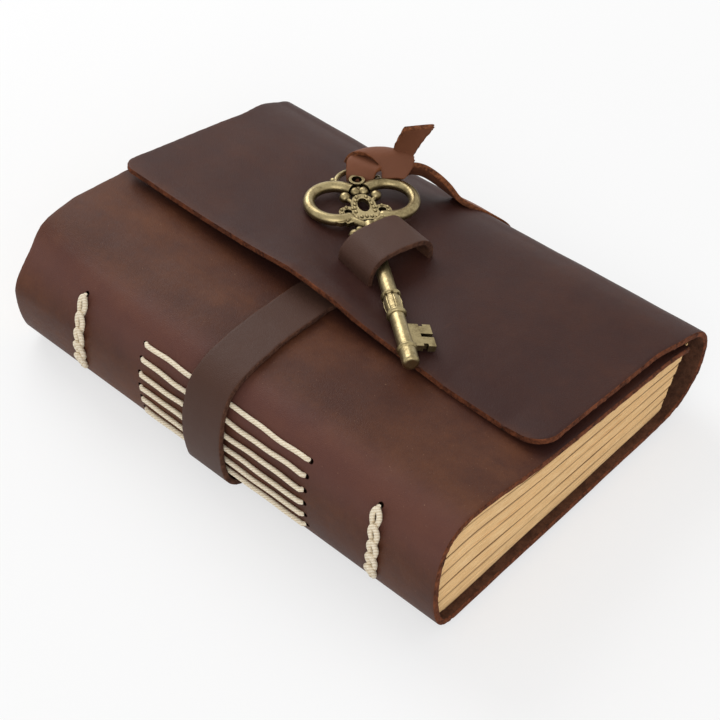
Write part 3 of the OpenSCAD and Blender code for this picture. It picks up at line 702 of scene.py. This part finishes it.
def chain_loop(i, y, lean):
    """A drop-shaped loop between stations i and i + 1: along the spine's height it goes as
    cos(c) and sideways as sin(c), narrower where cos(c) is low, and it lifts with cos(c). The
    whole chain bows towards the tail by half a sine."""
    (a, upward, out), (b, _, _) = station(i, 0.0), station(i + 1, 0.0)
    c = np.linspace(0, 2 * math.pi, 34, endpoint=False)
    size = np.linalg.norm(b - a) / 2 + 1.15
    s = size * np.cos(c)
    narrow = 0.5 + 0.5 * smooth(-1, 0.3, np.cos(c))
    side = 1.28 * np.sin(c) * narrow
    lift = 1.05 + 0.6 * np.cos(c)
    y = y - 1.5 * math.sin(math.pi * (i + 0.5) / (SIGNATURES - 1))
    middle = (a + b) / 2
    return np.stack([middle[0] + upward[0] * s + out[0] * lift, y + side + lean * 0.1 * np.cos(c),
                     middle[1] + upward[1] * s + out[1] * lift], 1)


for y in (58.5, -65.5):
    for i in range(SIGNATURES - 1):
        link = chain_loop(i, y, 1 if i % 2 else -1)
        stitches.append(rod(settle(link), 0.86, 10, closed=True, up=(-1, 0, 0.2)))
    for i, end in ((0, -0.8), (SIGNATURES - 1, 1.1)):
        stitches.append(rod(settle(np.vstack([on_spine(i, -2.0, y), on_spine(i, 0.3, y),
                                              on_spine(i, 1.0, y, end)])), 0.7, 9, up=(0, 1, 0)))
        lens = on_spine(i, [-0.3, 0.02, 0.09], y, end * 1.2)
        holes.append(rod(settle(lens), [0.95, 0.95, 0.7], 14, up=(0, 1, 0)))
points, faces = joined(stitches + holes)
kinds = np.repeat([0, 1], [sum(len(s[1]) for s in group) for group in (stitches, holes)])
thread = add_piece("spine_stitches", points, faces, [linen, painted_hole_shade], face_slots=kinds)
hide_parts("sewing_thread")

# %% [markdown]
# ## The strap
# One strip of the same leather, 15 mm wide. It starts inside the back cover, passes under the
# book and round the spine, slides under the flap, comes up through the first slit, arches
# over the key and goes down through the second slit. Its path is a flat line in the book's own
# profile for the long run and a second one on the flap for the arch, and a thick sheet is
# carried along both.

# %% Path of the strap
STRAP_T, SLIT_X, STRAP_Y = 1.8, 63.0, 1.5
slit_z = flap_front[1] - (SLIT_X - FLAP_X) * math.tan(FLAP_SLOPE)
flap_x = np.array([math.cos(FLAP_SLOPE), 0, -math.sin(FLAP_SLOPE)])
flap_n = np.array([math.sin(FLAP_SLOPE), 0, math.cos(FLAP_SLOPE)])
SKEW = math.radians(-9.5)
arch_s = math.cos(SKEW) * flap_x + math.sin(SKEW) * np.array([0, 1.0, 0])
arch_side = -math.sin(SKEW) * flap_x + math.cos(SKEW) * np.array([0, 1.0, 0])
slit_origin = np.array([SLIT_X, STRAP_Y, slit_z])
ARCH_H = 8.3
arch_2d = spline([(0, -3.2), (0, 0), (0.05, 2.6), (0.5, 4.2), (1.9, 6.0), (4.2, 7.6), (7.6, ARCH_H),
                  (12, ARCH_H + 0.12), (17, ARCH_H), (20.4, 7.6), (22.6, 6.1), (23.75, 4), (23.9, 2.4),
                  (23.9, 0), (23.9, -3.1)], 6)
arch_path = slit_origin + arch_2d[:, :1] * arch_s + arch_2d[:, 1:] * flap_n
back_to_lid = lid_curve[::-1]
under = np.stack([np.linspace(88, 10, 40), np.full(40, -1.0)], 1)
rises = back_to_lid[(back_to_lid[:, 0] < SLIT_X - 2) | (back_to_lid[:, 1] < SPINE_H / 2)]
inward = left_of(rises[::-1])[::-1]
share = rises[:, 1] / SPINE_H
near = np.clip((16 - rises[:, 0]) / 8, 0, 1)
lifted = 1.0 + 1.4 * np.clip(np.minimum(np.minimum(share / 0.16, (1.02 - share) / 0.12), near), 0, 1)
around = rises - inward * lifted[:, None]
body_2d = np.vstack([under, around[around[:, 0] < 60]])
body_path = np.stack([body_2d[:, 0], np.zeros(len(body_2d)), body_2d[:, 1]], 1)
body_path = at_lengths(body_path, np.linspace(0, lengths(body_path)[-1], 230))
top_side = body_path[:, 2] > SPINE_H * 0.5
drift = np.interp(body_path[:, 0], [0, 12, 44.5, 60], [0.0, 0.6, 3.0, 2.2])
body_path[:, 1] = np.where(top_side, drift, 0.0)
body_path = settle(body_path)
strap_path = np.vstack([body_path, arch_path[2:]])
strap_side = np.vstack([np.tile([0, 1.0, 0], (len(body_path), 1)),
                        np.tile(arch_side, (len(arch_path) - 2, 1))])
run = lengths(strap_path)
fine = np.linspace(0, run[-1], 330)
strap_path = at_lengths(strap_path, fine)
strap_side = unit(np.stack([np.interp(fine, run, strap_side[:, k]) for k in range(3)], 1))
width = np.interp(fine / run[-1], [0, 0.45, 0.6, 0.75, 1], [15.6, 15.8, 14.6, 14.4, 15.4])
width += 0.12 * np.sin(fine * 0.23) + 0.08 * np.sin(fine * 0.61)
across = np.linspace(-0.5, 0.5, 22)
strap_grid = strap_path[:, None] + strap_side[:, None] * (width[:, None] * across[None])[..., None]
points, faces, slots = thick_sheet(strap_grid, STRAP_T, 0.28, 0.07, 5)
strap = add_piece("closing_strap", points, faces, [strap_grain, strap_edge, flesh_side], face_slots=slots)
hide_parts("strap")

# %% [markdown]
# ## The key
# The key is a casting in old brass: bright where fingers rub it and nearly black in its
# hollows. Its shape is hard and exact, so the CAD node is kept and only gets a finish. Ambient
# Occlusion tells how open a place is, and the dirt gathers where it isn't.

# %% Brass finish
f = Finish("old_brass")
tarnish = f.noise(190, 5, 0.65)
pits = f.noise(1400, 3, 0.6)
rubbed = (tarnish * 0.7 + pits * 0.35).step(0.38, 0.62)
open_sky = f.node("AmbientOcclusion", {"samples": 12, "only_local": True}, {"Distance": 0.0035}, out="AO")
raised = open_sky.step(0.30, 0.85)
colour = f.mix(rubbed, (0.19, 0.145, 0.070), (0.36, 0.29, 0.150))
colour = f.mix(raised, (0.022, 0.013, 0.007), colour)
rough = 0.58 - rubbed * 0.1 - raised * 0.16
brass = f.set(Base_Color=colour, Metallic=1.0, Roughness=rough, Normal=f.bump(pits, 0.00006, 0.5))
key = frame["nodes"]["key"]
key.data.materials.clear()
key.data.materials.append(brass)
print("key:", len(key.data.polygons), "faces in old brass")

# %% [markdown]
# ## The lace
# A strip of softer, redder leather is looped through the ring of the key and knotted. One
# end stands up in the air, the other runs down over the fore-edge to a slot in the cover. A
# strip that twists is easiest to place by its two edges, so each part is a sheet ruled between
# two splines.


# %% Lace
def band(right_edge, left_edge, thickness=1.8, bulge=0.0, ragged=0.06, seed=7):
    """A strip ruled between its two edges, each a spline of points; bulge raises its middle by
    4k(1 - k), where k runs from one edge to the other."""
    a, b = (spline(edge, 8)[:, None] for edge in (right_edge, left_edge))
    k = np.linspace(0, 1, 11)[None, :, None]
    grid = a * (1 - k) + b * k
    normal = unit(np.cross(np.gradient(grid, axis=0), np.gradient(grid, axis=1)))
    return thick_sheet(grid + normal * bulge * 4 * k * (1 - k), thickness, 0.25, ragged, seed)


def combined(sheets):
    """Several thick sheets as one set of points, faces and slots."""
    base = np.cumsum([0] + [len(s[0]) for s in sheets[:-1]])
    return (np.vstack([s[0] for s in sheets]), np.vstack([s[1] + b for s, b in zip(sheets, base)]),
            np.concatenate([s[2] for s in sheets]))


ring_band = band([(98.0, 26.6, 38.0), (98.9, 26.4, 40.4), (100.4, 26.2, 42.6), (103.5, 25.4, 42.6),
                  (106.5, 24.4, 41.2)],
                 [(94.0, 33.4, 38.4), (94.7, 34.3, 41.0), (97.6, 36.4, 43.0), (101.2, 36.0, 43.0),
                  (104.8, 34.4, 41.8)], seed=4)
wrap = band([(97.9, 37.8, 41.0), (98.7, 37.0, 43.4), (100.3, 35.4, 44.7), (101.6, 32.4, 45.3), (102.1, 29.2, 44.8),
             (102.3, 27.0, 43.5), (101.8, 25.1, 41.6), (101.2, 24.3, 40.2)],
            [(104.5, 35.6, 41.0), (106.2, 33.8, 43.2), (107.5, 30.6, 44.9), (108.7, 27.1, 45.6), (110.1, 23.2, 45.8),
             (111.2, 20.3, 44.8), (109.1, 19.0, 42.6), (105.4, 18.8, 40.4)], bulge=0.5, ragged=0.12, seed=5)
stand = band([(105.0, 21.6, 40.6), (106.3, 20.6, 42.0), (109.2, 19.3, 43.5), (111.8, 15.9, 43.0), (113.3, 11.5, 41.2),
              (115.2, 7.8, 37.4), (117.0, 4.4, 32.4), (120.4, 0.8, 28.6), (124.2, -4.2, 25.2), (127.2, -8.2, 21.6),
              (128.0, -9.7, 18.0)],
             [(108.6, 24.6, 35.0), (109.6, 23.6, 35.9), (112.3, 22.2, 36.9), (115.0, 19.0, 36.2), (116.8, 14.8, 34.2),
              (119.6, 11.2, 30.2), (122.0, 8.8, 27.0), (124.2, 5.6, 25.0), (126.4, 2.0, 22.8), (127.8, -1.0, 20.8),
              (128.0, -2.3, 18.0)], seed=7)
tail = band([(110.6, 23.0, 41.0), (111.4, 21.2, 44.5), (113.3, 18.7, 51), (116, 16, 57.5)],
            [(107.7, 28.6, 41.0), (108.7, 27.2, 44.5), (109, 24.9, 51), (108.8, 21.9, 57.3)], ragged=0.16, seed=9)
points, faces, slots = combined([ring_band, wrap, stand, tail])
lace = add_piece("knotted_lace", points, faces, [lace_grain, lace_edge, lace_grain], body=None,
                 face_slots=slots)
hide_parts("lace")
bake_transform(lace)

# %% [markdown]
# ## Floor and light
# The world lights everything evenly. One broad lamp from behind and above gives the leather
# its soft sheen and the floor its shadow, and a weaker one from the spine's side opens the dark
# sides. The floor and the sky look nearly white because of what camera rays see, and not
# through more light on the book.

# %% Stage
bpy.context.scene.view_settings.view_transform = "Standard"
AMBIENT, FLOOR_GLOW, FLOOR_HALF = 0.62, 0.62, 4


def seen_directly(tree):
    """1 for camera, glossy and transmission rays and 0 for the light that bounces on."""
    path = tree.nodes.new("ShaderNodeLightPath")
    total = path.outputs["Is Camera Ray"]
    for name in ("Is Glossy Ray", "Is Transmission Ray"):
        most = tree.nodes.new("ShaderNodeMath")
        most.operation = "MAXIMUM"
        tree.links.new(total, most.inputs[0])
        tree.links.new(path.outputs[name], most.inputs[1])
        total = most.outputs[0]
    return total


f = Finish("floor_white")
marks = f.noise(3, 3).step(0.3, 0.7)
f.set(Base_Color=f.mix(marks, (0.86, 0.86, 0.86), (0.89, 0.89, 0.89)), Roughness=0.95,
      Specular_IOR_Level=0.0)
glow = f.tree.nodes.new("ShaderNodeEmission")
share = f.tree.nodes.new("ShaderNodeMath")
share.operation = "MULTIPLY"
f.tree.links.new(seen_directly(f.tree), share.inputs[0])
share.inputs[1].default_value = FLOOR_GLOW
blended = f.tree.nodes.new("ShaderNodeMixShader")
f.tree.links.new(share.outputs[0], blended.inputs[0])
f.tree.links.new(f.shader.outputs[0], blended.inputs[1])
f.tree.links.new(glow.outputs[0], blended.inputs[2])
f.tree.links.new(blended.outputs[0], f.tree.nodes["Material Output"].inputs[0])
mesh = bpy.data.meshes.new("floor")
corners = [(x * FLOOR_HALF, y * FLOOR_HALF, 0) for x, y in ((-1, -1), (1, -1), (1, 1), (-1, 1))]
mesh.from_pydata(corners, [], [(0, 1, 2, 3)])
mesh.materials.append(f.material)
floor = bpy.data.objects.new("floor", mesh)
bpy.context.scene.collection.objects.link(floor)
sky = bpy.data.worlds.new("soft_white")
bpy.context.scene.world = sky
sky.use_nodes = True
nodes = sky.node_tree.nodes
ambient, bright = nodes["Background"], nodes.new("ShaderNodeBackground")
ambient.inputs["Strength"].default_value = AMBIENT
for background in (ambient, bright):
    background.inputs["Color"].default_value = (1, 1, 1, 1)
choice = nodes.new("ShaderNodeMixShader")
sky.node_tree.links.new(seen_directly(sky.node_tree), choice.inputs[0])
sky.node_tree.links.new(ambient.outputs[0], choice.inputs[1])
sky.node_tree.links.new(bright.outputs[0], choice.inputs[2])
sky.node_tree.links.new(choice.outputs[0], nodes["World Output"].inputs[0])


def lamp(name, azimuth, elevation, distance, size, power):
    """A square soft lamp at a direction in degrees that faces the book's middle."""
    a, e = math.radians(azimuth), math.radians(elevation)
    away = np.array([math.cos(e) * math.cos(a), math.cos(e) * math.sin(a), math.sin(e)])
    data = bpy.data.lights.new(name, "AREA")
    data.shape, data.size, data.energy = "SQUARE", size, power
    made = bpy.data.objects.new(name, data)
    bpy.context.scene.collection.objects.link(made)
    side = unit(np.cross([0, 0, 1.0], away))
    turn = Matrix.Identity(4)
    for column, axis in enumerate((side, np.cross(away, side), away, away * distance)):
        for row in range(3):
            turn[row][column] = axis[row]
    made.matrix_world = turn
    print(name, power, "W at azimuth", azimuth, "and elevation", elevation)


lamp("main_lamp", 70, 38, 1.3, 0.8, 8.5)
lamp("fill_lamp", 222, 34, 1.3, 1.0, 5.4)
